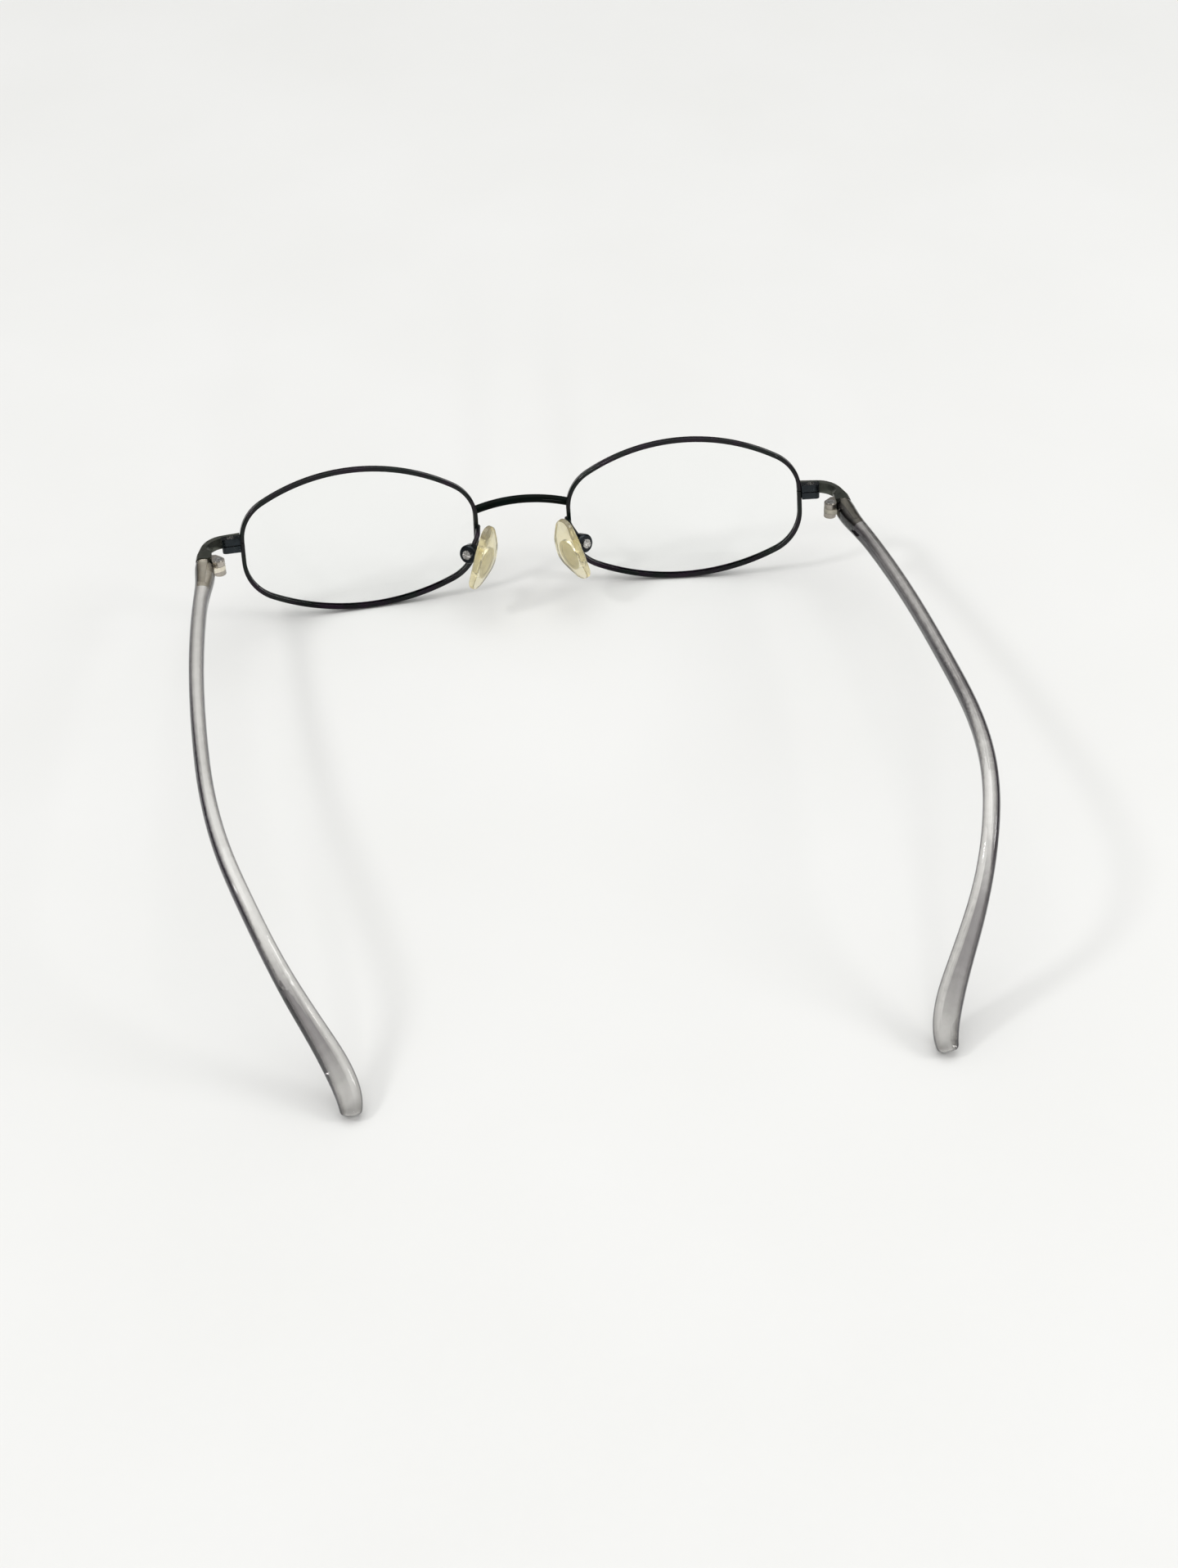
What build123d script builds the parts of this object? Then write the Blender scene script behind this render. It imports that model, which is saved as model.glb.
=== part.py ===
from build123d import *
from math import cos, radians, sin, tan
import os

# Oval eyeglasses that lie open on a table: a metal front with two rimmed lenses, nose pads on
# sprung arms, screwed rim locks, three-barrel hinges and moulded plastic temples.
# Millimetres and degrees. +X is the wearer's left, +Y runs back to the temple tips, +Z is up.
# The left half is modelled and the right half is its mirror image. The right temple is fully
# open, and the left one is then turned in on its hinge to where it lies.

os.makedirs("parts", exist_ok=True)

# Stance on the table
front_tilt = 15.4  # the front leans forward at the top
temple_slope_angle = 7.5  # the straight part of a temple climbs towards its bend
left_turned_in_angle = 6.0  # the left temple lies this far short of its open stop

# Rims and lenses
lens_spacing = 67.0  # between the two rim centres
rim_width = 47.6  # rim sizes are those of the rim's middle line
rim_height = 30.0
rim_side_radius = 150.0
rim_brow_share = 0.257  # of the height, by which the top and bottom arcs fall to the sides
rim_upper_corner_share = 0.277  # corner radii as shares of the height
rim_lower_corner_share = 0.32
rim_turn = 1.6  # each oval is turned, outer end up
face_wrap = 4.6  # each lens is turned, outer end back
lens_radius = 132.0  # curve of the lens and of the rim
rim_wall = 0.85
rim_depth = 1.35
rim_rounding = 0.2
groove_depth = 0.35
groove_width = 0.6
lens_thickness = 1.1
lens_play = 0.03
cut_reach = 8.0  # how far a cutting prism stands out on each side of the rim

# Rim locks at the outer end of each rim
lock_rise = 2.95  # above the middle of the rim
lock_length = 3.6
lock_height = 3.0
lock_depth = 2.3
lock_setback = 0.4  # the block's middle lies behind the rim's middle surface
lock_gap = 0.2
lock_rounding = 0.8
lock_screw_radius = 0.5
lock_head_radius = 0.75
lock_head_height = 0.35
slot_width_share = 0.3  # of the screw head's radius
slot_depth_share = 0.4  # of the head's height

# Bridge
bridge_radius = 0.85
bridge_rise = 3.45  # of its ends above the rim centres
bridge_arch = 1.2
bridge_bow = 0.8  # the middle stands forward of the ends

# End pieces
strip_thickness = 1.0
strip_height = 2.4
strip_bend = 5.0
corner_out_length = 6.7  # from the rim's end to the corner that the strip turns round
corner_setback = 0.45  # the strip's front face falls back this far by that corner
joint_height = 3.4
joint_length = 2.3  # how far the thick inner side of the joint block runs forward
joint_rounding = 0.9  # of the joint block's outer corners

# Hinges
hinge_offset = 4.3  # from the rim's outer end out to the hinge axis
hinge_back = 11.6
hinge_rise = 5.1  # above the rim centres
knuckle_radius = 1.25
knuckle_height = 1.0
knuckle_gap = 0.05
pin_radius = 0.6
pin_play = 0.04
screw_head_radius = 0.9
screw_head_height = 0.4
screw_head_sink = 0.25
leaf_thickness = 0.8
leaf_length = 1.1
joint_ahead = 1.0  # the end piece stops this far ahead of the hinge axis
joint_gap = 0.1
joint_inset = 1.3  # from the hinge axis out to the end piece's inner face
joint_width = 3.2
tang_front_width = 1.8
tang_tip_width = 1.2
tang_height = 2.1
tang_length = 7.7

# Temples
temple_reach = 121.7  # from the joint back to the tip, along the slope
temple_bow = 7.1  # how far the temple swings out beyond its front end
temple_drop = 35.0  # how far the tip hangs under the straight part
temple_width = 2.8
temple_height = 3.1
temple_rounding_share = 0.42  # corner radius as a share of the smaller side
tip_rounding = 1.0

# Stations from the joint to the tip, each in shares: along the reach, out by the bow, down by
# the drop, and its width and height as shares of the temple's own.
temple_station_shares = [
    (0.0, 0.0, 0.0, 1.07, 1.12),
    (0.028, 0.01, 0.0, 1.38, 1.12),
    (0.06, 0.10, 0.0, 1.20, 1.12),
    (0.095, 0.23, 0.0, 1.02, 1.1),
    (0.155, 0.41, 0.0, 0.98, 1.06),
    (0.30, 0.72, 0.0, 0.98, 1.0),
    (0.49, 0.95, 0.0, 0.98, 0.98),
    (0.645, 0.98, 0.0, 1.0, 0.98),
    (0.735, 0.84, 0.045, 1.04, 0.98),
    (0.81, 0.55, 0.145, 1.07, 1.0),
    (0.863, 0.21, 0.30, 1.12, 1.0),
    (0.903, -0.21, 0.50, 1.30, 1.03),
    (0.935, -0.64, 0.69, 1.52, 1.06),
    (0.967, -0.98, 0.86, 1.66, 1.08),
    (0.988, -1.07, 0.95, 1.50, 1.04),
    (1.0, -1.04, 1.0, 1.22, 0.94),
]

# Nose pads
pad_side = 8.5  # pad centre from the mid-plane
pad_back = 8.1  # behind the rim centres
pad_drop = 3.6  # below the rim centres
pad_splay = 36.0  # between the pad's face and the mid-plane
pad_lean = 16.5  # pad tops lean together
pad_length = 14.0
pad_width = 7.4
pad_thickness = 1.9
pad_crown_radius = 28.0
pad_edge_rounding = 0.3
insert_length = 6.8
insert_width = 5.0
insert_thickness = 0.7
insert_drop = 1.1  # below the pad's middle
insert_ring_width = 0.7
insert_ring_height = 0.25
box_drop = 0.6
box_offset = 3.6  # behind the pad's middle
box_width = 2.3
box_radius = 1.95
box_wall = 0.5
box_rounding = 0.4
stem_width = 1.3
stem_height = 1.4
pad_screw_radius = 0.4
pad_screw_play = 0.05
pad_screw_head_radius = 0.95
pad_screw_head_height = 0.45
rock_room = 0.35  # free space above and below the stem in its box
arm_radius = 0.5
arm_bend = 1.6
arm_foot_drop = 0.2  # the arm's foot below the rim centres
arm_run_length = 3.6  # how far the arm runs back before it turns down to its box
arm_spread = 0.4  # how far it moves outwards on the way
arm_standoff = 0.1  # the wire's middle lies this far inboard of the rim's side

# The pad's outline wraps these circles, each in shares: forwards by the pad's width, up by its
# length, and its radius by the width. The back edge is nearly straight.
pad_circle_shares = [
    (-0.12, 0.345, 0.29),
    (-0.03, 0.10, 0.44),
    (0.02, -0.10, 0.48),
    (-0.14, -0.325, 0.32),
]


def sine(angle):
    return sin(radians(angle))


def cosine(angle):
    return cos(radians(angle))


def sag(out):
    """How far the rim's middle surface falls back at a distance from the lens centre."""
    return lens_radius - (lens_radius**2 - out**2) ** 0.5


# The top and bottom arcs follow from the rim's width and from how far they fall to its sides.
rim_brow_fall = rim_brow_share * rim_height
rim_brow_radius = ((rim_width / 2) ** 2 + rim_brow_fall**2) / (2 * rim_brow_fall)

# The rims stand on the table, so their height follows from the rim and its tilt.
rim_foot = (rim_height + rim_wall) / 2
lens_height = rim_foot * cosine(front_tilt) + (rim_depth / 2 - sag(rim_foot)) * sine(front_tilt)


def front_vector(out, back, up):
    """A direction in the front's own frame, which leans forward by its tilt."""
    return Vector(
        out,
        back * cosine(front_tilt) - up * sine(front_tilt),
        back * sine(front_tilt) + up * cosine(front_tilt),
    )


def front_point(out, back, up):
    """A point measured from the mid-plane at the height of the rim centres."""
    return Vector(0, 0, lens_height) + front_vector(out, back, up)


# The left lens plane: X outwards, Y up and Z forwards, through the rim's centre.
lens_plane = Plane(
    origin=front_point(lens_spacing / 2, 0, 0),
    x_dir=front_vector(
        cosine(face_wrap) * cosine(rim_turn), sine(face_wrap) * cosine(rim_turn), sine(rim_turn)
    ),
    z_dir=front_vector(sine(face_wrap), -cosine(face_wrap), 0),
)
curve_centre = lens_plane.from_local_coords(Vector(0, 0, -lens_radius))

# The left hinge plane: X outwards, Y back along the temple, Z along the hinge axis.
hinge_side = lens_spacing / 2 + rim_width / 2 + hinge_offset
hinge_plane = Plane(
    origin=(0, hinge_back, lens_height + hinge_rise),
    x_dir=(1, 0, 0),
    z_dir=(0, -sine(temple_slope_angle), cosine(temple_slope_angle)),
)
hinge_axis = Axis(hinge_plane.from_local_coords(Vector(hinge_side, 0, 0)), hinge_plane.z_dir)


def oval(grow):
    """Adds the rim's oval to the open sketch, grown from its middle line by a distance."""
    half_width = rim_width / 2 + grow
    half_height = rim_height / 2 + grow
    brow = rim_brow_radius + grow
    side = rim_side_radius + grow
    with Locations((0, half_height - brow)):
        Circle(brow)
    with Locations((0, brow - half_height)):
        Circle(brow, mode=Mode.INTERSECT)
    with Locations((half_width - side, 0)):
        Circle(side, mode=Mode.INTERSECT)
    with Locations((side - half_width, 0)):
        Circle(side, mode=Mode.INTERSECT)
    corners = vertices().sort_by(Axis.Y)
    fillet(corners[2:], rim_upper_corner_share * rim_height + grow)
    corners = vertices().group_by(Axis.Y)[0]
    fillet(corners, rim_lower_corner_share * rim_height + grow)


def prism(grow):
    """The oval's outline as a straight prism through the rim."""
    with BuildPart() as blank:
        with BuildSketch(lens_plane):
            oval(grow)
        extrude(amount=cut_reach, both=True)
    return blank.part


def dished(grow, thickness):
    """A plate of the oval's outline, dished to the lens curve about the rim's middle surface."""
    with BuildPart() as plate:
        add(prism(grow))
        with Locations(curve_centre):
            Sphere(lens_radius + thickness / 2, mode=Mode.INTERSECT)
            Sphere(lens_radius - thickness / 2, mode=Mode.SUBTRACT)
    return plate.part


# Rims: a grooved band, slit at its outer end where the rim lock closes it
rim_outside = dished(rim_wall / 2, rim_depth)
rim_inside = prism(-rim_wall / 2)
groove = dished(groove_depth - rim_wall / 2, groove_width)
rim_end = rim_width / 2 + rim_wall / 2

# The lock plane: X outwards, Y backwards and Z up, at the height of the lock's slit.
lock_plane = Plane(
    origin=front_point(lens_spacing / 2, 0, lock_rise),
    x_dir=front_vector(cosine(face_wrap), sine(face_wrap), 0),
    z_dir=front_vector(0, 0, 1),
)
lock_middle = sag(rim_width / 2) + lock_setback

with BuildPart() as eyewire:
    add(rim_outside)
    fillet(eyewire.edges().filter_by(GeomType.BSPLINE), rim_rounding)
    add(rim_inside, mode=Mode.SUBTRACT)
    add(groove, mode=Mode.SUBTRACT)
    with BuildSketch(lock_plane):
        with Locations((rim_end, lock_middle)):
            Rectangle(2 * lock_length, 2 * cut_reach)
    extrude(amount=lock_gap / 2, both=True, mode=Mode.SUBTRACT)

# Lenses: a dished plate with a tongue round its edge that sits in the rim's groove
lens_body = dished(-rim_wall / 2 - lens_play, lens_thickness)
lens_tongue = dished(groove_depth - rim_wall / 2 - lens_play, groove_width - 2 * lens_play)
with BuildPart() as lens:
    add(lens_body)
    add(lens_tongue)

# End pieces: a flat strip that leaves the rim, turns back and thickens into the joint block
strip_front = lock_middle - lock_depth / 2 - strip_thickness
strip_start = hinge_plane.to_local_coords(
    lock_plane.from_local_coords(Vector(rim_end - rim_wall, strip_front, 0))
)
strip_corner = hinge_plane.to_local_coords(
    lock_plane.from_local_coords(Vector(rim_end + corner_out_length, strip_front + corner_setback, 0))
)
joint_outer = hinge_side + joint_inset + joint_width
joint_inner = hinge_side + joint_inset

with BuildPart() as strip_blank:
    with BuildSketch(hinge_plane):
        with BuildLine():
            outer = FilletPolyline(
                (strip_start.X, strip_start.Y),
                (strip_corner.X, strip_corner.Y),
                (joint_outer, -joint_ahead),
                radius=strip_bend,
            )
            offset(outer, amount=strip_thickness, side=Side.LEFT)
        make_face()
    extrude(amount=cut_reach, both=True)

with BuildPart() as end_piece:
    add(strip_blank.part)
    with BuildSketch(hinge_plane):
        with BuildLine():
            Polyline(
                (joint_inner, -joint_ahead),
                (joint_inner, -joint_ahead - joint_length),
                (joint_outer - 2 * strip_thickness, -joint_ahead - joint_length - 2 * strip_thickness),
                (joint_outer - strip_thickness, -joint_ahead - joint_length),
                (joint_outer - strip_thickness / 2, -joint_ahead),
                close=True,
            )
        make_face()
    extrude(amount=joint_height / 2, both=True)
    with BuildSketch(Plane(hinge_plane.origin, x_dir=hinge_plane.y_dir, z_dir=(1, 0, 0))):
        with BuildLine():
            Polyline(
                (strip_start.Y - strip_thickness, strip_height / 2),
                (strip_corner.Y + strip_bend / 2, strip_height / 2),
                (-joint_ahead, joint_height / 2),
                (-joint_ahead, -joint_height / 2),
                (strip_corner.Y + strip_bend / 2, -strip_height / 2),
                (strip_start.Y - strip_thickness, -strip_height / 2),
                close=True,
            )
        make_face()
    extrude(amount=2 * hinge_side, mode=Mode.INTERSECT)
    with BuildSketch(Plane(hinge_plane.origin, x_dir=(1, 0, 0), z_dir=-hinge_plane.y_dir)):
        with Locations((joint_outer / 2, 0)):
            RectangleRounded(joint_outer, joint_height, joint_rounding)
    extrude(amount=2 * hinge_back, mode=Mode.INTERSECT)
    add(prism(rim_wall / 2), mode=Mode.SUBTRACT)


# Rim locks: a block brazed to each end of the slit rim, and the screw that draws them together
def lock_block(low, high):
    """One half of the rim lock, between two heights about the slit."""
    with BuildPart() as block:
        with BuildSketch(lock_plane.offset(low)):
            with Locations((rim_end + (lock_length - rim_wall) / 2, lock_middle - strip_thickness / 8)):
                Rectangle(lock_length + rim_wall, lock_depth + strip_thickness / 4)
            fillet(vertices().group_by(Axis.X)[-1], lock_rounding)
            with Locations((rim_end + lock_length / 2, lock_middle)):
                Circle(lock_screw_radius, mode=Mode.SUBTRACT)
        extrude(amount=high - low)
        add(rim_envelope, mode=Mode.SUBTRACT)
        add(strip_blank.part, mode=Mode.SUBTRACT)
    return block.part


rim_envelope = prism(rim_wall / 2)
lock_screw_place = Vector(rim_end + lock_length / 2, lock_middle, 0)

with BuildPart() as rim_lock_upper:
    add(lock_block(lock_gap / 2, lock_height / 2))
    with BuildSketch(lock_plane.offset(lock_height / 2 - lock_head_height)):
        with Locations((lock_screw_place.X, lock_screw_place.Y)):
            Circle(lock_head_radius)
    extrude(amount=2 * lock_head_height, mode=Mode.SUBTRACT)

with BuildPart() as rim_lock_lower:
    add(lock_block(-lock_height / 2, -lock_gap / 2))


def slotted_screw(plane, shaft_radius, shaft_low, shaft_high, head_radius, head_height):
    """A screw along a plane's normal: a shaft under a slotted head that stands on shaft_high."""
    with BuildPart() as screw:
        with BuildSketch(plane.offset(shaft_low)):
            Circle(shaft_radius)
        extrude(amount=shaft_high - shaft_low)
        with BuildSketch(plane.offset(shaft_high)):
            Circle(head_radius)
        extrude(amount=head_height)
        with BuildSketch(plane.offset(shaft_high + head_height * (1 - slot_depth_share))):
            Rectangle(3 * head_radius, slot_width_share * head_radius)
        extrude(amount=head_height, mode=Mode.SUBTRACT)
    return screw.part


lock_screw_plane = Plane(
    origin=lock_plane.from_local_coords(lock_screw_place),
    x_dir=lock_plane.x_dir,
    z_dir=lock_plane.z_dir,
)
with BuildPart() as rim_lock_screw:
    add(
        slotted_screw(
            lock_screw_plane,
            lock_screw_radius,
            -lock_height / 2,
            lock_height / 2 - lock_head_height,
            lock_head_radius,
            lock_head_height,
        )
    )

# Bridge: a round bar on one arc, arched up and bowed forward, cut to the two rims
bridge_end_out = lens_spacing / 2 - rim_width / 2
bridge_end = front_point(bridge_end_out, 0, bridge_rise)
bridge_far_end = front_point(-bridge_end_out, 0, bridge_rise)
bridge_top = front_point(0, -bridge_bow, bridge_rise + bridge_arch)
with BuildPart() as bridge:
    with BuildLine():
        bridge_line = ThreePointArc(bridge_end, bridge_top, bridge_far_end)
    with BuildSketch(Plane(bridge_end, z_dir=bridge_line % 0)):
        Circle(bridge_radius)
    sweep()
    add(rim_envelope, mode=Mode.SUBTRACT)
    mirror(rim_envelope, about=Plane.YZ, mode=Mode.SUBTRACT)

# Hinges. Front half: two knuckles on a plate that is brazed inside the joint block
stack_top = knuckle_height * 1.5 + knuckle_gap


def leaf_outline():
    """Adds one front knuckle and the web to its plate to the open sketch."""
    with Locations((hinge_side, 0)):
        Circle(knuckle_radius)
    with Locations((joint_inner - leaf_thickness / 2, -joint_ahead - leaf_length / 2)):
        Rectangle(leaf_thickness, leaf_length)
    make_hull()
    with Locations((hinge_side, 0)):
        Circle(pin_radius, mode=Mode.SUBTRACT)


with BuildPart() as hinge_front:
    for level in (knuckle_height / 2 + knuckle_gap, -stack_top):
        with BuildSketch(hinge_plane.offset(level)):
            leaf_outline()
        extrude(amount=knuckle_height)
    with BuildSketch(hinge_plane.offset(-stack_top)):
        with Locations((joint_inner - leaf_thickness / 2, -joint_ahead - leaf_length / 2)):
            Rectangle(leaf_thickness, leaf_length)
    extrude(amount=2 * stack_top)
    with BuildSketch(hinge_plane.offset(-knuckle_height / 2 - knuckle_gap)):
        with Locations((hinge_side, 0)):
            Circle(knuckle_radius + joint_gap)
    extrude(amount=knuckle_height + 2 * knuckle_gap, mode=Mode.SUBTRACT)
    with BuildSketch(hinge_plane.offset(stack_top - screw_head_sink)):
        with Locations((hinge_side, 0)):
            Circle(screw_head_radius)
    extrude(amount=knuckle_height, mode=Mode.SUBTRACT)

hinge_screw_plane = Plane(
    origin=hinge_axis.position, x_dir=hinge_plane.x_dir, z_dir=hinge_plane.z_dir
)
with BuildPart() as hinge_screw:
    add(
        slotted_screw(
            hinge_screw_plane,
            pin_radius,
            -stack_top,
            stack_top - screw_head_sink,
            screw_head_radius,
            screw_head_height,
        )
    )

# Temple half: the middle knuckle and a tapered tang that is moulded into the temple
temple_start = Vector(joint_inner + joint_gap + joint_width / 2, joint_gap - joint_ahead, 0)


def temple_middle(along_share, out_share, down_share):
    """A point of the temple's middle line, in the hinge plane's own coordinates."""
    step = Vector(out_share * temple_bow, along_share * temple_reach, -down_share * temple_drop)
    return temple_start + step


tang_along = temple_middle(*temple_station_shares[3][:3]) - temple_start
tang_heading = Vector(tang_along.X, tang_along.Y, 0).normalized()
tang_tip = temple_start + tang_heading * tang_length

with BuildPart() as hinge_temple:
    with BuildSketch(hinge_plane.offset(-knuckle_height / 2)):
        with Locations((hinge_side, 0)):
            Circle(knuckle_radius)
        with Locations((temple_start.X, temple_start.Y + knuckle_radius + joint_ahead)):
            Circle(tang_front_width / 3)
        make_hull()
        with Locations((hinge_side, 0)):
            Circle(pin_radius + pin_play, mode=Mode.SUBTRACT)
    extrude(amount=knuckle_height)
    with BuildSketch(hinge_plane.offset(-tang_height / 2)):
        with BuildLine():
            Polyline(
                (temple_start.X - tang_front_width / 2, temple_start.Y),
                (temple_start.X + tang_front_width / 2, temple_start.Y),
                (tang_tip.X + tang_tip_width / 2, tang_tip.Y),
                (tang_tip.X - tang_tip_width / 2, tang_tip.Y),
                close=True,
            )
        make_face()
    extrude(amount=tang_height)

# Temples: one loft through rounded sections that follow the temple's middle line
centres = [
    hinge_plane.from_local_coords(temple_middle(*station[:3])) for station in temple_station_shares
]


def station_plane(index):
    """The plane of one section, square to the middle line there, with X across the temple."""
    if index == 0:
        heading = hinge_plane.y_dir
    else:
        after = centres[min(index + 1, len(centres) - 1)]
        heading = (after - centres[index - 1]).normalized()
    across = heading.cross(hinge_plane.z_dir)
    return Plane(origin=centres[index], x_dir=across, z_dir=heading)


with BuildPart() as temple:
    for index, station in enumerate(temple_station_shares):
        width = station[3] * temple_width
        height = station[4] * temple_height
        with BuildSketch(station_plane(index)):
            RectangleRounded(width, height, temple_rounding_share * min(width, height))
    loft()
    fillet(temple.faces().sort_by(Axis.Y)[-1].edges(), tip_rounding)
    with BuildSketch(hinge_plane.offset(-temple_height)):
        with Locations((hinge_side, 0)):
            Circle(knuckle_radius + joint_gap)
    extrude(amount=2 * temple_height, mode=Mode.SUBTRACT)
    add(hinge_temple.part, mode=Mode.SUBTRACT)

# Nose pads. The pad plane: X forwards, Y up the pad and Z towards the nose.
pad_up = front_vector(-sine(pad_lean), 0, cosine(pad_lean))
pad_inward = front_vector(-cosine(pad_splay), sine(pad_splay), -cosine(pad_splay) * tan(radians(pad_lean)))
pad_plane = Plane(
    origin=front_point(pad_side, pad_back, -pad_drop),
    x_dir=pad_up.cross(pad_inward),
    z_dir=pad_inward,
)


def pad_outline():
    """Adds the pad's outline to the open sketch."""
    for forward_share, up_share, radius_share in pad_circle_shares:
        with Locations((forward_share * pad_width, up_share * pad_length)):
            Circle(radius_share * pad_width)
    make_hull()


insert_back = -pad_thickness / 2
box_centre = pad_plane.from_local_coords(Vector(0, -box_drop, -box_offset))
box_plane = Plane(origin=box_centre, x_dir=pad_plane.x_dir, z_dir=pad_plane.z_dir)
stem_plane = Plane(origin=box_centre, x_dir=pad_plane.y_dir, z_dir=pad_plane.x_dir)
with BuildPart() as pad_insert:
    with BuildSketch(pad_plane.offset(insert_back)):
        with Locations((0, -insert_drop)):
            Ellipse(insert_width / 2, insert_length / 2)
    extrude(amount=insert_thickness + insert_ring_height)
    with BuildSketch(pad_plane.offset(insert_back + insert_thickness)):
        with Locations((0, -insert_drop)):
            Ellipse(insert_width / 2 - insert_ring_width, insert_length / 2 - insert_ring_width)
    extrude(amount=insert_ring_height, mode=Mode.SUBTRACT)
    with BuildSketch(stem_plane):
        Circle(stem_height / 2)
        with Locations((0, (box_offset + insert_back) / 2)):
            Rectangle(stem_height, box_offset + insert_back)
        Circle(pad_screw_radius + pad_screw_play, mode=Mode.SUBTRACT)
    extrude(amount=stem_width / 2, both=True)

with BuildPart() as nose_pad:
    with BuildSketch(pad_plane.offset(insert_back)):
        pad_outline()
    extrude(amount=pad_thickness)
    with Locations(pad_plane.from_local_coords(Vector(0, 0, pad_thickness / 2 - pad_crown_radius))):
        Sphere(pad_crown_radius, mode=Mode.INTERSECT)
    fillet(nose_pad.edges(), pad_edge_rounding)
    add(pad_insert.part, mode=Mode.SUBTRACT)

# Pad boxes: a round cup that holds the stem, with the screw through its middle
with BuildPart() as box_blank:
    with BuildSketch(stem_plane):
        Circle(box_radius)
    extrude(amount=box_width / 2, both=True)
    fillet(box_blank.edges(), box_rounding)

with BuildPart() as pad_box:
    add(box_blank.part)
    with BuildSketch(box_plane.offset(box_wall - box_radius)):
        Rectangle(stem_width + 2 * pad_screw_play, stem_height + 2 * rock_room)
    extrude(amount=2 * box_radius, mode=Mode.SUBTRACT)
    with BuildSketch(stem_plane):
        Circle(pad_screw_radius)
    extrude(amount=box_width, both=True, mode=Mode.SUBTRACT)

pad_screw_plane = Plane(box_centre, x_dir=box_plane.y_dir, z_dir=-box_plane.x_dir)
with BuildPart() as pad_screw:
    add(
        slotted_screw(
            pad_screw_plane,
            pad_screw_radius,
            -box_width / 2,
            box_width / 2,
            pad_screw_head_radius,
            pad_screw_head_height,
        )
    )
    cross_level = box_width / 2 + pad_screw_head_height * (1 - slot_depth_share)
    with BuildSketch(pad_screw_plane.offset(cross_level)):
        Rectangle(slot_width_share * pad_screw_head_radius, 2 * pad_screw_head_radius)
    extrude(amount=pad_screw_head_height, mode=Mode.SUBTRACT)

# Pad arms: a wire from the side of the rim back to the box
arm_start = front_point(bridge_end_out - rim_wall / 2 - arm_standoff, 0, -arm_foot_drop)
arm_turn = arm_start + front_vector(arm_spread, arm_run_length, -arm_spread)
with BuildPart() as pad_arm:
    with BuildLine():
        arm_line = FilletPolyline(arm_start, arm_turn, box_centre, radius=arm_bend)
    with BuildSketch(Plane(arm_start, z_dir=arm_line % 0)):
        Circle(arm_radius)
    sweep()
    add(rim_outside, mode=Mode.SUBTRACT)
    add(box_blank.part, mode=Mode.SUBTRACT)

# The two sides: the right temple is fully open, the left one is turned in on its hinge
fixed_pairs = {
    "eyewire": eyewire,
    "lens": lens,
    "end_piece": end_piece,
    "rim_lock_upper": rim_lock_upper,
    "rim_lock_lower": rim_lock_lower,
    "rim_lock_screw": rim_lock_screw,
    "hinge_front": hinge_front,
    "hinge_screw": hinge_screw,
    "pad_arm": pad_arm,
    "pad_box": pad_box,
    "pad_screw": pad_screw,
    "pad_insert": pad_insert,
    "nose_pad": nose_pad,
}
turning_pairs = {"hinge_temple": hinge_temple, "temple": temple}

pieces = {"bridge": bridge.part}
for name, half in {**fixed_pairs, **turning_pairs}.items():
    with BuildPart() as twin:
        mirror(half.part, about=Plane.YZ)
    pieces[name + "_right"] = twin.part
    turn = left_turned_in_angle if name in turning_pairs else 0
    pieces[name + "_left"] = half.part.rotate(hinge_axis, turn)

# The origin is the middle of the footprint, on the table.
boxes = [piece.bounding_box() for piece in pieces.values()]
middle_x = (min(box.min.X for box in boxes) + max(box.max.X for box in boxes)) / 2
middle_y = (min(box.min.Y for box in boxes) + max(box.max.Y for box in boxes)) / 2
table = min(box.min.Z for box in boxes)
to_origin = Location((-middle_x, -middle_y, -table))

for name, piece in pieces.items():
    with BuildPart() as placed:
        add(piece.moved(to_origin))
    placed.part.label = name
    export_step(placed.part, f"parts/{name}.step")

print("moved by", -middle_x, -middle_y, -table)
print("left hinge axis at", hinge_axis.position, "along", hinge_axis.direction)
print("left pad screw at", box_centre, "along", -box_plane.x_dir)
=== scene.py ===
"""The looks of the oval eyeglasses: a finish for every piece, a pale table, soft light and the camera."""

from math import cos, radians, sin

import bpy
from mathutils import Matrix, Vector

MM = 0.001
SIDES = ("left", "right")

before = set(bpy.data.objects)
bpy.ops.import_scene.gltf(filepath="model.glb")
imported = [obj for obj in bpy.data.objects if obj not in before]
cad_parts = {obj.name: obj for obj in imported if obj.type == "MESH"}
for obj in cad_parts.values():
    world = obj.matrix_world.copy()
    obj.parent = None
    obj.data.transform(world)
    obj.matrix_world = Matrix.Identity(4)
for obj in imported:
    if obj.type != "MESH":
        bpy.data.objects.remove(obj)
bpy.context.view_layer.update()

# Shader nodes. A new stop of a ramp starts in its middle and then moves to its own place.
NEW_STOP_PLACE = 0.5


def set_sockets(node, values):
    """Sets a node's inputs by their names, written with _ for a space."""
    for socket, value in values.items():
        node.inputs[socket.replace("_", " ")].default_value = value


def add_node(tree, kind, **values):
    """Adds a shader node and sets the inputs that are named."""
    node = tree.nodes.new("ShaderNode" + kind)
    set_sockets(node, values)
    return node


def add_ramp(tree, source, stops):
    """Sends a number through a ramp of (position, colour) stops and returns the colour."""
    ramp = add_node(tree, "ValToRGB")
    elements = ramp.color_ramp.elements
    while len(elements) < len(stops):
        elements.new(NEW_STOP_PLACE)
    for element, (position, colour) in zip(elements, stops):
        element.position = position
        element.color = (*colour, 1)
    tree.links.new(source, ramp.inputs["Fac"])
    return ramp.outputs["Color"]


def grey(value):
    """A colour without a hue."""
    return (value, value, value)


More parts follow.
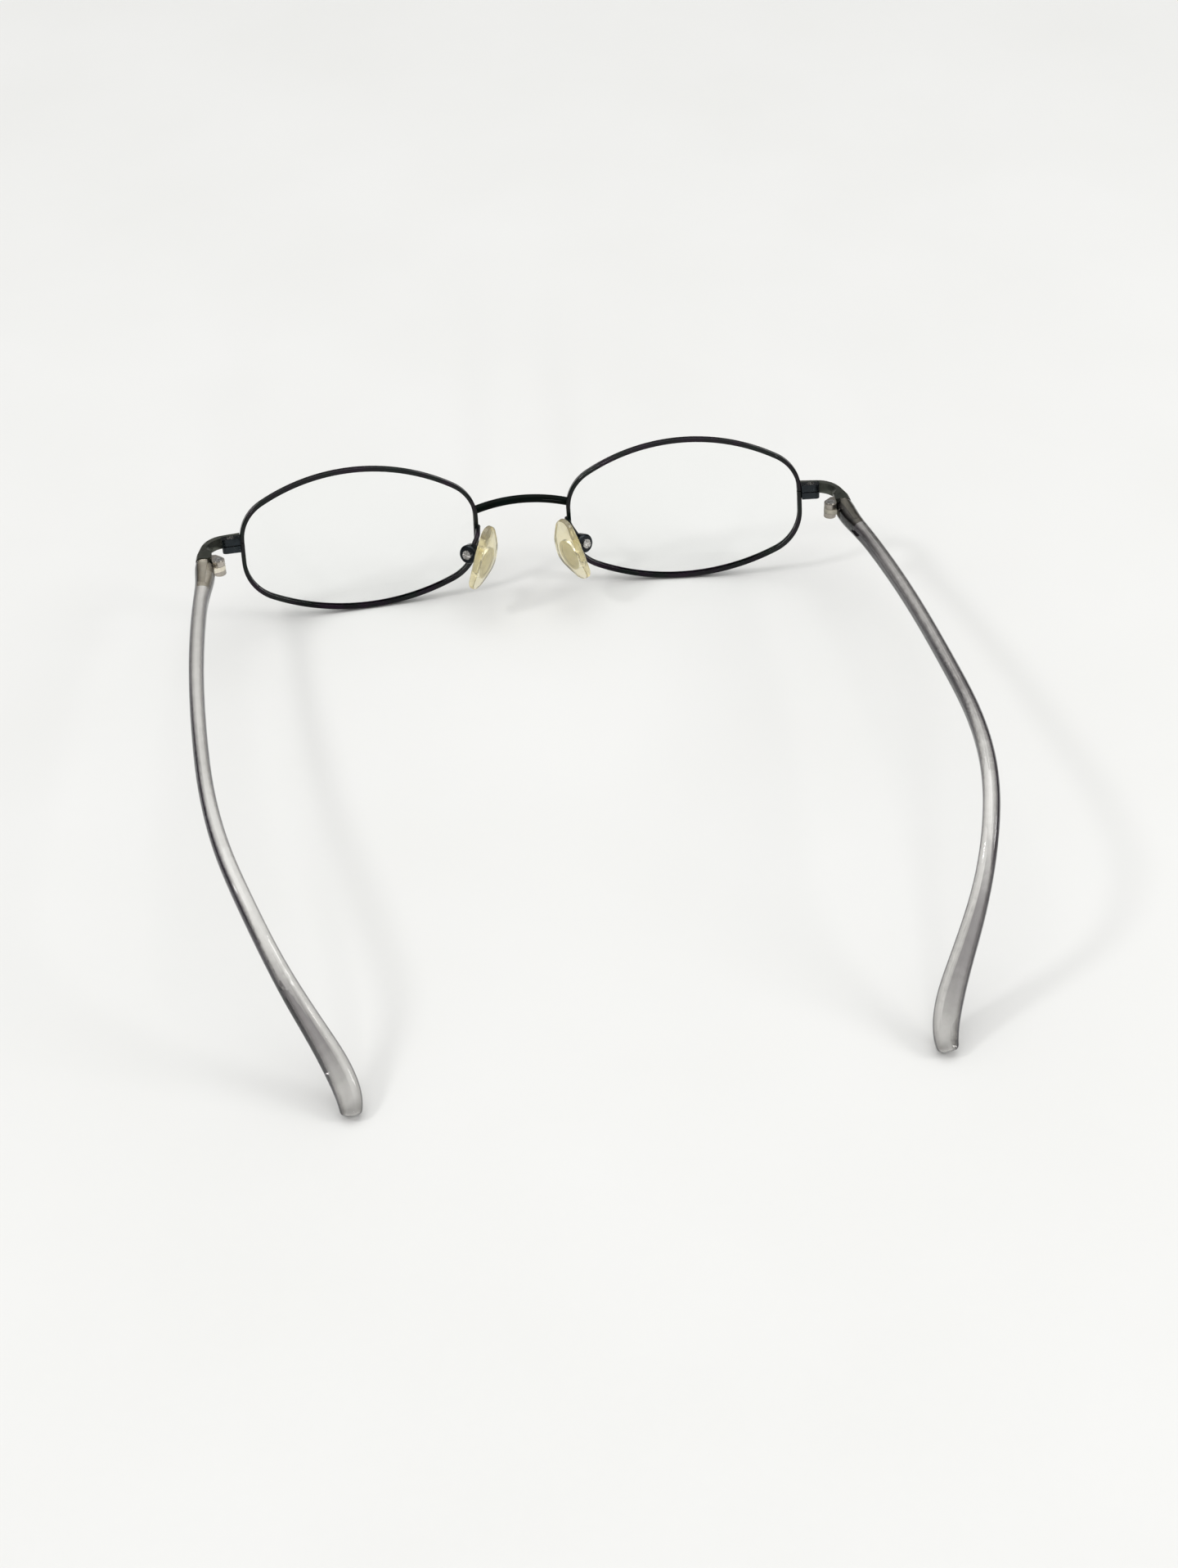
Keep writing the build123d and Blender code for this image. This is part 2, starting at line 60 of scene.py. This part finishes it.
# A noise mostly lies between its low and high value. Its detail is a number of octaves.
NOISE_LOW = 0.3
NOISE_HIGH = 0.7
COLOUR_DETAIL = 3.0
RIPPLE_DETAIL = 2.0


def between(dark, light):
    """The stops of a ramp that takes a noise from one colour to another."""
    return ((NOISE_LOW, dark), (NOISE_HIGH, light))


class Finish:
    """A node material around one Principled shader. Its patterns follow the piece's own coordinates."""

    def __init__(self, name, **values):
        self.material = bpy.data.materials.new(name)
        self.material.use_nodes = True
        self.tree = self.material.node_tree
        self.shader = self.tree.nodes["Principled BSDF"]
        self.coordinates = self.add("TexCoord").outputs
        set_sockets(self.shader, values)

    def add(self, kind, **values):
        """Adds a node to this material."""
        return add_node(self.tree, kind, **values)

    def link(self, output, socket):
        """Joins an output to an input."""
        self.tree.links.new(output, socket)

    def noise(self, size, detail=COLOUR_DETAIL, stretch=(1, 1, 1)):
        """A noise whose spots are about that many millimetres wide."""
        mapping = self.add("Mapping", Scale=stretch)
        noise = self.add("TexNoise", Scale=1 / (size * MM), Detail=detail)
        self.link(self.coordinates["Object"], mapping.inputs["Vector"])
        self.link(mapping.outputs["Vector"], noise.inputs["Vector"])
        return noise.outputs["Fac"]

    def colours(self, source, stops):
        """Drives the base colour through a ramp of (position, colour) stops."""
        self.link(add_ramp(self.tree, source, stops), self.shader.inputs["Base Color"])

    def roughen(self, source, low, high):
        """Lets a noise move the roughness between two values."""
        span = self.add("MapRange", From_Min=NOISE_LOW, From_Max=NOISE_HIGH, To_Min=low, To_Max=high)
        self.link(source, span.inputs["Value"])
        self.link(span.outputs["Result"], self.shader.inputs["Roughness"])

    def ripple(self, size, depth):
        """Raises the surface by up to that many millimetres."""
        bump = self.add("Bump", Distance=depth * MM)
        self.link(self.noise(size, RIPPLE_DETAIL), bump.inputs["Height"])
        self.link(bump.outputs["Normal"], self.shader.inputs["Normal"])

    def grain(self, spots, stops, patches, roughness, ripples, depth):
        """Gives the surface colour spots, duller patches and ripples of these sizes in millimetres."""
        self.colours(self.noise(spots), stops)
        self.roughen(self.noise(patches), *roughness)
        self.ripple(ripples, depth)

    def combine(self, operation, first, second):
        """Works out one number from two outputs, or from an output and a number."""
        result = self.add("Math")
        result.operation = operation
        self.link(first, result.inputs[0])
        if isinstance(second, float):
            result.inputs[1].default_value = second
        else:
            self.link(second, result.inputs[1])
        return result.outputs["Value"]

    def along(self, stops):
        """A number that follows the place along Y through (millimetres, value) stops."""
        first, last = stops[0][0], stops[-1][0]
        axes = self.add("SeparateXYZ")
        span = self.add("MapRange", From_Min=first * MM, From_Max=last * MM)
        self.link(self.coordinates["Object"], axes.inputs["Vector"])
        self.link(axes.outputs["Y"], span.inputs["Value"])
        shares = [((place - first) / (last - first), grey(value)) for place, value in stops]
        return add_ramp(self.tree, span.outputs["Result"], shares)

    def absorb(self, colour, per_metre):
        """Lets light fade inside the piece."""
        volume = self.add("VolumeAbsorption", Color=(*colour, 1), Density=per_metre)
        self.link(volume.outputs["Volume"], self.tree.nodes["Material Output"].inputs["Volume"])


# Lacquered metal
LACQUER_SPOTS = 4.0
LACQUER_PATCHES = 1.2
LACQUER_RIPPLES = 0.5
LACQUER_DEPTH = 0.006
LACQUER_COAT_ROUGHNESS = 0.05


def lacquer(name, stops, roughness, metallic=0.0, coat=0.2, gloss=0.1):
    """A dark lacquer, mottled through a few colours, with a clear coat that takes the highlights."""
    made = Finish(
        name,
        Metallic=metallic,
        Coat_Weight=coat,
        Coat_Roughness=LACQUER_COAT_ROUGHNESS,
        Specular_IOR_Level=gloss,
    )
    made.grain(LACQUER_SPOTS, stops, LACQUER_PATCHES, roughness, LACQUER_RIPPLES, LACQUER_DEPTH)
    return made.material


rim_lacquer = lacquer(
    "rim lacquer",
    stops=((0.35, (0.002, 0.006, 0.004)), (0.5, (0.003, 0.003, 0.004)), (0.65, (0.009, 0.003, 0.010))),
    roughness=(0.28, 0.42),
    coat=0.3,
)
bridge_lacquer = lacquer(
    "bridge lacquer",
    stops=((0.35, (0.001, 0.002, 0.001)), (0.65, (0.001, 0.004, 0.003))),
    roughness=(0.25, 0.38),
    coat=0.03,
    gloss=0.03,
)
lock_lacquer = lacquer(
    "lock lacquer",
    stops=((0.35, (0.008, 0.011, 0.014)), (0.65, (0.024, 0.030, 0.034))),
    roughness=(0.22, 0.34),
    metallic=0.8,
)
end_lacquer = lacquer(
    "end piece lacquer",
    stops=((0.35, (0.075, 0.085, 0.070)), (0.65, (0.125, 0.125, 0.105))),
    roughness=(0.26, 0.38),
    metallic=0.85,
)
knuckle_lacquer = lacquer(
    "knuckle lacquer",
    stops=((0.35, (0.24, 0.22, 0.19)), (0.65, (0.48, 0.44, 0.39))),
    roughness=(0.22, 0.36),
    metallic=0.9,
)

# Bare steel
screw_steel = Finish("screw steel", Metallic=1.0)
screw_steel.grain(
    spots=0.6,
    stops=between((0.34, 0.33, 0.31), (0.76, 0.75, 0.73)),
    patches=0.3,
    roughness=(0.15, 0.3),
    ripples=0.2,
    depth=0.004,
)

# The left tang's lighter colours are painted light and the right one's darker colours painted shade. The
# streaks are the steel's own.
TANG_LIT_AND_SHADED_COLOURS = {
    "left": ((0.74, 0.68, 0.56), (0.92, 0.87, 0.75)),
    "right": ((0.26, 0.25, 0.21), (0.46, 0.43, 0.36)),
}
TANG_STREAKS = (1, 0.2, 1)
TANG_FINE_STREAKS = (1, 0.1, 1)


def tang_steel(side):
    """Steel with streaks along the tang, lighter on the left one by painted light and darker on the right
    one by painted shade.
    """
    made = Finish(f"tang steel {side}", Metallic=0.9)
    made.colours(made.noise(size=1.5, stretch=TANG_STREAKS), between(*TANG_LIT_AND_SHADED_COLOURS[side]))
    made.roughen(made.noise(size=0.5, stretch=TANG_FINE_STREAKS), low=0.28, high=0.45)
    made.ripple(size=0.3, depth=0.003)
    return made.material


# The temples' plastic. Its shade goes from 0 for clear to 1 for nearly black. Most of it is painted shade,
# and a little is a random mottle.
TEMPLE_IOR = 1.49
TEMPLE_TINT = (0.55, 0.52, 0.50)
TEMPLE_DENSITY = 60
# Painted shade along the outlines, where the plastic's faces turn edge-on to the view.
PAINTED_OUTLINE_START = 0.36
PAINTED_OUTLINE_SHADE = 0.9
# Painted shade on both sides of each temple, growing as the faces turn along X.
PAINTED_SIDE_SHADE = 0.3
MOTTLE_SHADE = 0.1
# How far a face turns to one side is raised to this power and multiplied by this gain.
FACE_POWER = 1.3
FACE_GAIN = 1.55
# For each temple: a direction along X, and the painted shade of the faces that turn to it, as (place, shade)
# stops with places in millimetres along Y. These are both outer sides, partly a darker outer face and partly
# painted shade, and the right one's inner side at the hinge, which is painted shade.
PAINTED_FACE_SHADES = {
    "left": ((1, ((-40, 0.15), (-15, 0.35), (8, 0.95), (45, 1.0), (66, 0.3))),),
    "right": (
        (-1, ((-45, 0.35), (-20, 0.5), (8, 0.9), (45, 1.0), (66, 0.5))),
        (1, ((-55, 0.65), (-42, 0.4), (-32, 0.0))),
    ),
}
SHADE_COLOURS = (
    (0.04, (0.95, 0.945, 0.93)),
    (0.14, (0.80, 0.79, 0.77)),
    (0.29, (0.42, 0.41, 0.40)),
    (0.50, (0.15, 0.14, 0.145)),
    (0.75, (0.022, 0.019, 0.024)),
    (1.00, (0.002, 0.0015, 0.0025)),
)


def sideways(made):
    """The part of the surface's direction that lies along X."""
    axes = made.add("SeparateXYZ")
    made.link(made.coordinates["Normal"], axes.inputs["Vector"])
    return axes.outputs["X"]


def turned_to(made, direction):
    """How far a face turns to that direction along X, from 0 to 1, seen from inside or outside."""
    sign = made.add("MapRange", To_Min=direction, To_Max=-direction)
    made.link(made.add("NewGeometry").outputs["Backfacing"], sign.inputs["Value"])
    turned = made.combine("MULTIPLY", sideways(made), sign.outputs["Result"])
    turned = made.combine("MULTIPLY", made.combine("POWER", turned, FACE_POWER), FACE_GAIN)
    turned.node.use_clamp = True
    return turned


def temple_plastic(side):
    """Clear grey plastic with a random mottle, and painted shade along its outlines, at its sides and on the
    faces in the table of painted shades.
    """
    made = Finish(f"temple plastic {side}", Transmission_Weight=1.0, IOR=TEMPLE_IOR)
    # Painted shade that darkens the plastic where its faces turn edge-on to the view.
    outline = made.add("MapRange", From_Min=PAINTED_OUTLINE_START, To_Max=PAINTED_OUTLINE_SHADE)
    made.link(made.add("LayerWeight").outputs["Facing"], outline.inputs["Value"])
    shade = outline.outputs["Result"]
    # Painted shade on the faces that turn to each direction in the table.
    for direction, stops in PAINTED_FACE_SHADES[side]:
        face = made.combine("MULTIPLY", turned_to(made, direction), made.along(stops))
        shade = made.combine("ADD", shade, face)
    # Painted shade on both sides, from how far each face turns along X.
    square = made.combine("MULTIPLY", sideways(made), sideways(made))
    shade = made.combine("ADD", shade, made.combine("MULTIPLY", square, PAINTED_SIDE_SHADE))
    mottle = made.combine("MULTIPLY", made.noise(size=1.2), MOTTLE_SHADE)
    made.colours(made.combine("ADD", shade, mottle), SHADE_COLOURS)
    made.roughen(made.noise(size=2.0), low=0.02, high=0.05)
    made.ripple(size=5.0, depth=0.02)
    made.absorb(TEMPLE_TINT, TEMPLE_DENSITY)
    return made.material


# Nose pads
silicone = Finish("pad silicone", Transmission_Weight=0.86, IOR=1.41)
silicone.grain(
    spots=2.5,
    stops=between((0.95, 0.90, 0.70), (1.0, 0.97, 0.84)),
    patches=1.5,
    roughness=(0.03, 0.09),
    ripples=1.0,
    depth=0.015,
)
silicone.absorb(colour=(0.97, 0.88, 0.45), per_metre=130)

insert_plastic = Finish("pad insert", Coat_Weight=0.5, Coat_Roughness=0.08)
insert_plastic.grain(
    spots=1.5,
    stops=between((0.72, 0.68, 0.44), (0.92, 0.89, 0.68)),
    patches=1.0,
    roughness=(0.1, 0.22),
    ripples=0.6,
    depth=0.012,
)

# Lenses
GLASS_TINT = (0.998, 1.0, 0.999, 1)
GLASS_IOR = 1.3
MIRROR_TINT = (0.9, 1.0, 0.95, 1)
MIRROR_ROUGHNESS = 0.02


def lens_glass():
    """Thin clear glass: light goes straight through it, and its faces mirror a little."""
    material = bpy.data.materials.new("lens glass")
    material.use_nodes = True
    tree = material.node_tree
    tree.nodes.remove(tree.nodes["Principled BSDF"])
    clear = add_node(tree, "BsdfTransparent", Color=GLASS_TINT)
    mirror = add_node(tree, "BsdfGlossy", Color=MIRROR_TINT, Roughness=MIRROR_ROUGHNESS)
    fresnel = add_node(tree, "Fresnel", IOR=GLASS_IOR)
    geometry = add_node(tree, "NewGeometry")
    # Only the front faces mirror, because the ray goes straight through and would be caught at the back.
    front = add_node(tree, "MapRange", To_Min=1, To_Max=0)
    share = add_node(tree, "Math")
    share.operation = "MULTIPLY"
    both = add_node(tree, "MixShader")
    tree.links.new(geometry.outputs["Backfacing"], front.inputs["Value"])
    tree.links.new(fresnel.outputs["Fac"], share.inputs[0])
    tree.links.new(front.outputs["Result"], share.inputs[1])
    tree.links.new(share.outputs["Value"], both.inputs["Fac"])
    tree.links.new(clear.outputs["BSDF"], both.inputs[1])
    tree.links.new(mirror.outputs["BSDF"], both.inputs[2])
    tree.links.new(both.outputs["Shader"], tree.nodes["Material Output"].inputs["Surface"])
    return material


# Every piece gets its finish
FINISHES = {
    "eyewire": rim_lacquer,
    "pad_arm": rim_lacquer,
    "lens": lens_glass(),
    "end_piece": end_lacquer,
    "rim_lock_upper": lock_lacquer,
    "rim_lock_lower": lock_lacquer,
    "rim_lock_screw": screw_steel.material,
    "hinge_front": knuckle_lacquer,
    "hinge_screw": screw_steel.material,
    "pad_box": lock_lacquer,
    "pad_screw": screw_steel.material,
    "pad_insert": insert_plastic.material,
    "nose_pad": silicone.material,
}


def dress(node, material):
    """Gives a CAD node its material."""
    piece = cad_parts[node]
    piece.data.materials.clear()
    piece.data.materials.append(material)


dress("bridge", bridge_lacquer)
for side in SIDES:
    for kind, material in FINISHES.items():
        dress(f"{kind}_{side}", material)
    dress(f"temple_{side}", temple_plastic(side))
    dress(f"hinge_temple_{side}", tang_steel(side))

# The tang fills its hollow in the moulded plastic. A film of air round the pad's insert makes it glint.
INLAY_GROWTH = {"hinge_temple": 0.012 * MM, "pad_insert": -0.03 * MM}
for side in SIDES:
    for kind, growth in INLAY_GROWTH.items():
        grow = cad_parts[f"{kind}_{side}"].modifiers.new("inlay", "DISPLACE")
        grow.mid_level = 0
        grow.strength = growth

# Table
TABLE_REACH = 4.0
TABLE_CORNERS = ((-1, -1), (1, -1), (1, 1), (-1, 1))
table_places = [(x * TABLE_REACH, y * TABLE_REACH, 0) for x, y in TABLE_CORNERS]
table_mesh = bpy.data.meshes.new("table")
table_mesh.from_pydata(table_places, [], [(0, 1, 2, 3)])
table = bpy.data.objects.new("table", table_mesh)
bpy.context.scene.collection.objects.link(table)
paper = Finish("table paper")
paper.colours(paper.noise(size=60.0), between((0.73, 0.73, 0.712), (0.75, 0.75, 0.735)))
paper.roughen(paper.noise(size=2.0), low=0.6, high=0.75)
table_mesh.materials.append(paper.material)

# Room light: bright overhead and dark low down. The backdrop that the camera sees is pale all over,
# so the dark lower room only shows in the gloss and in the clear plastic.
ROOM_STOPS = ((0.0, 0.015), (0.30, 0.06), (0.55, 0.65), (0.80, 1.0))
BACKDROP = (0.80, 0.80, 0.785, 1)

world = bpy.data.worlds.new("room")
world.use_nodes = True
bpy.context.scene.world = world
room = world.node_tree
room_light = room.nodes["Background"]
room_direction = add_node(room, "TexCoord")
room_axes = add_node(room, "SeparateXYZ")
backdrop = add_node(room, "Background", Color=BACKDROP)
seen = add_node(room, "MixShader")
room.links.new(room_direction.outputs["Generated"], room_axes.inputs["Vector"])
brightness = add_ramp(room, room_axes.outputs["Z"], [(height, grey(value)) for height, value in ROOM_STOPS])
room.links.new(brightness, room_light.inputs["Color"])
room.links.new(add_node(room, "LightPath").outputs["Is Camera Ray"], seen.inputs["Fac"])
room.links.new(room_light.outputs["Background"], seen.inputs[1])
room.links.new(backdrop.outputs["Background"], seen.inputs[2])
room.links.new(seen.outputs["Shader"], room.nodes["World Output"].inputs["Surface"])


def lamp(name, place, size, watts):
    """A round soft lamp that faces the object."""
    light = bpy.data.lights.new(name, "AREA")
    light.shape = "DISK"
    light.size = size
    light.energy = watts
    holder = bpy.data.objects.new(name, light)
    holder.location = place
    holder.rotation_euler = (-Vector(place)).to_track_quat("-Z", "Y").to_euler()
    bpy.context.scene.collection.objects.link(holder)


# Lamps: one on each side, a wide panel overhead and a low one behind the camera
lamp("left_lamp", place=(0.70, 0.05, 0.80), size=0.16, watts=1.9)
lamp("right_lamp", place=(-0.67, 0.17, 0.48), size=0.30, watts=1.5)
lamp("overhead_panel", place=(0.0, -0.25, 1.40), size=1.20, watts=5.6)
lamp("window_lamp", place=(0.10, 1.20, 0.27), size=0.13, watts=2.2)

# Camera: it stands behind the glasses and looks down at the front
CAMERA_PLACE = (0.0352255, 0.3015781, 0.3111611)
CAMERA_YAW = -7.015
CAMERA_PITCH = 45.335
CAMERA_ROLL = -0.931
CAMERA_LENS = 52.566
SENSOR_HEIGHT = 36.0
CLIP_START = 0.01
CLIP_END = 20

yaw, pitch, roll = radians(CAMERA_YAW), radians(CAMERA_PITCH), radians(CAMERA_ROLL)
ahead = Vector((sin(yaw) * cos(pitch), -cos(yaw) * cos(pitch), -sin(pitch)))
level = ahead.cross(Vector((0, 0, 1))).normalized()
above = level.cross(ahead)
image_right = level * cos(roll) + above * sin(roll)
image_up = above * cos(roll) - level * sin(roll)
camera_data = bpy.data.cameras.new("camera")
camera_data.sensor_fit = "VERTICAL"
camera_data.sensor_height = SENSOR_HEIGHT
camera_data.lens = CAMERA_LENS
camera_data.clip_start = CLIP_START
camera_data.clip_end = CLIP_END
camera = bpy.data.objects.new("camera", camera_data)
turned = Matrix((image_right, image_up, -ahead)).transposed().to_4x4()
camera.matrix_world = Matrix.Translation(CAMERA_PLACE) @ turned
bpy.context.scene.collection.objects.link(camera)
bpy.context.scene.camera = camera
bpy.context.scene.view_settings.view_transform = "Standard"
